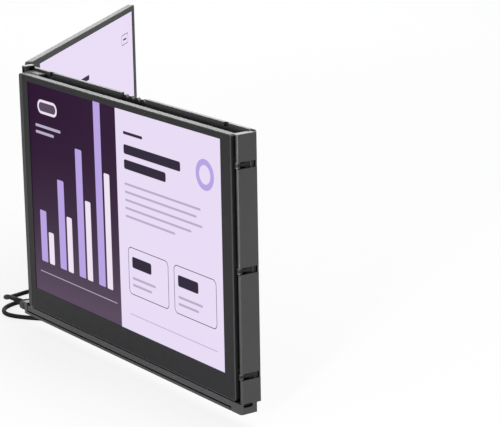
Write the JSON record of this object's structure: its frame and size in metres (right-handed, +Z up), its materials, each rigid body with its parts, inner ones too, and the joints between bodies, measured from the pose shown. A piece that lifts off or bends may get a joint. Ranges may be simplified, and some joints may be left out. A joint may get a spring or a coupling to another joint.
{
  "type": "portable screen extender",
  "caption": "Folding screen extender for a laptop lid: a thin frame with a bottom bar and side columns carries folding displays on pivoting links, with a plug-in cable.",
  "frame": {"origin": "centre of the rubber pads' rear faces, which rest on the back of the laptop's lid, at mid height of the frame", "axes": "+X along the frame's width towards the near display's hinge side, +Y from the frame towards the laptop's lid, +Z up"},
  "size_m": [0.5844, 0.2748, 0.2472],
  "materials": {
    "body_plastic": "fine matt grain",
    "shell_plastic": "fine matt grain",
    "bezel_plastic": "matt",
    "plate_metal": "satin grey paint",
    "hinge_steel": "satin",
    "screw_steel": "satin",
    "port_steel": "satin",
    "rubber": "matt",
    "magnet": "nickel plate",
    "panel_glass": "anti-glare film, lit from behind",
    "backlight": "white",
    "board": "green solder mask",
    "cable_jacket": "satin"
  },
  "bodies": {
    "frame": {"frame_plate": "plate_metal", "rear_skin": "body_plastic", "rest_pads": "rubber", "holding_magnets": "magnet", "bar_body": "body_plastic", "bar_base": "body_plastic", "base_screws": "screw_steel", "foot_screws": "screw_steel", "hub_board": "board", "cover_screws": "screw_steel", "far_shoulder": "shell_plastic", "near_port": "port_steel", "far_port": "port_steel", "cable": "cable_jacket", "cable_coil": "cable_jacket", "cable_tail": "cable_jacket", "strain_relief": "cable_jacket", "far_relief": "cable_jacket", "plug_grip": "body_plastic", "far_plug_grip": "body_plastic", "plug_blade": "port_steel", "far_plug_blade": "port_steel", "near_cover_top": "body_plastic", "near_cover_upper": "body_plastic", "near_cover_lower": "body_plastic", "near_hinge_brackets": "hinge_steel", "near_rear_pins": "hinge_steel", "far_cover_top": "body_plastic", "far_cover_upper": "body_plastic", "far_cover_lower": "body_plastic", "far_cover_bottom": "body_plastic", "far_hinge_brackets": "hinge_steel", "far_rear_pins": "hinge_steel"},
    "near_links": {"near_link_upper": "hinge_steel", "near_link_middle": "hinge_steel", "near_link_lower": "hinge_steel"},
    "near_display": {"near_front_pins": "hinge_steel", "near_hinge_leaves": "hinge_steel", "near_shell": "shell_plastic", "near_bezel": "bezel_plastic", "near_panel": "panel_glass", "near_backlight": "backlight", "near_driver_board": "board"},
    "far_links": {"far_link_upper": "hinge_steel", "far_link_middle": "hinge_steel", "far_link_lower": "hinge_steel"},
    "far_display": {"far_front_pins": "hinge_steel", "far_hinge_leaves": "hinge_steel", "far_shell": "shell_plastic", "far_bezel": "bezel_plastic", "far_panel": "panel_glass", "far_backlight": "backlight", "far_driver_board": "board"},
    "latch": {"top_latch": "body_plastic"}
  },
  "joints": [
    {"name": "near_display_fold", "type": "hinge", "parent": "near_links", "child": "near_display", "pos_m": [0.17202, -0.01879, 0.00455], "axis": [0, 0, 1], "range_deg": [0, 180]},
    {"name": "near_link_turn", "type": "hinge", "parent": "frame", "child": "near_links", "pos_m": [0.1714, -0.0052, 0], "axis": [0, 0, 1], "range_deg": [0, 21.8]},
    {"name": "far_link_turn", "type": "hinge", "parent": "frame", "child": "far_links", "pos_m": [-0.1714, -0.0052, 0], "axis": [0, 0, -1], "range_deg": [-60, 10]},
    {"name": "far_display_turn", "type": "hinge", "parent": "far_links", "child": "far_display", "pos_m": [-0.18454, -0.00168, 0.00835], "axis": [0, 0, -1], "range_deg": [-70, 15]},
    {"name": "latch_slide", "type": "slide", "parent": "frame", "child": "latch", "axis": [0, 0, 1], "range_m": [0, 0.003]}
  ],
  "couplings": [
    {"joint": "near_link_turn", "follows": "near_display_fold", "ratio": 0.12}
  ]
}
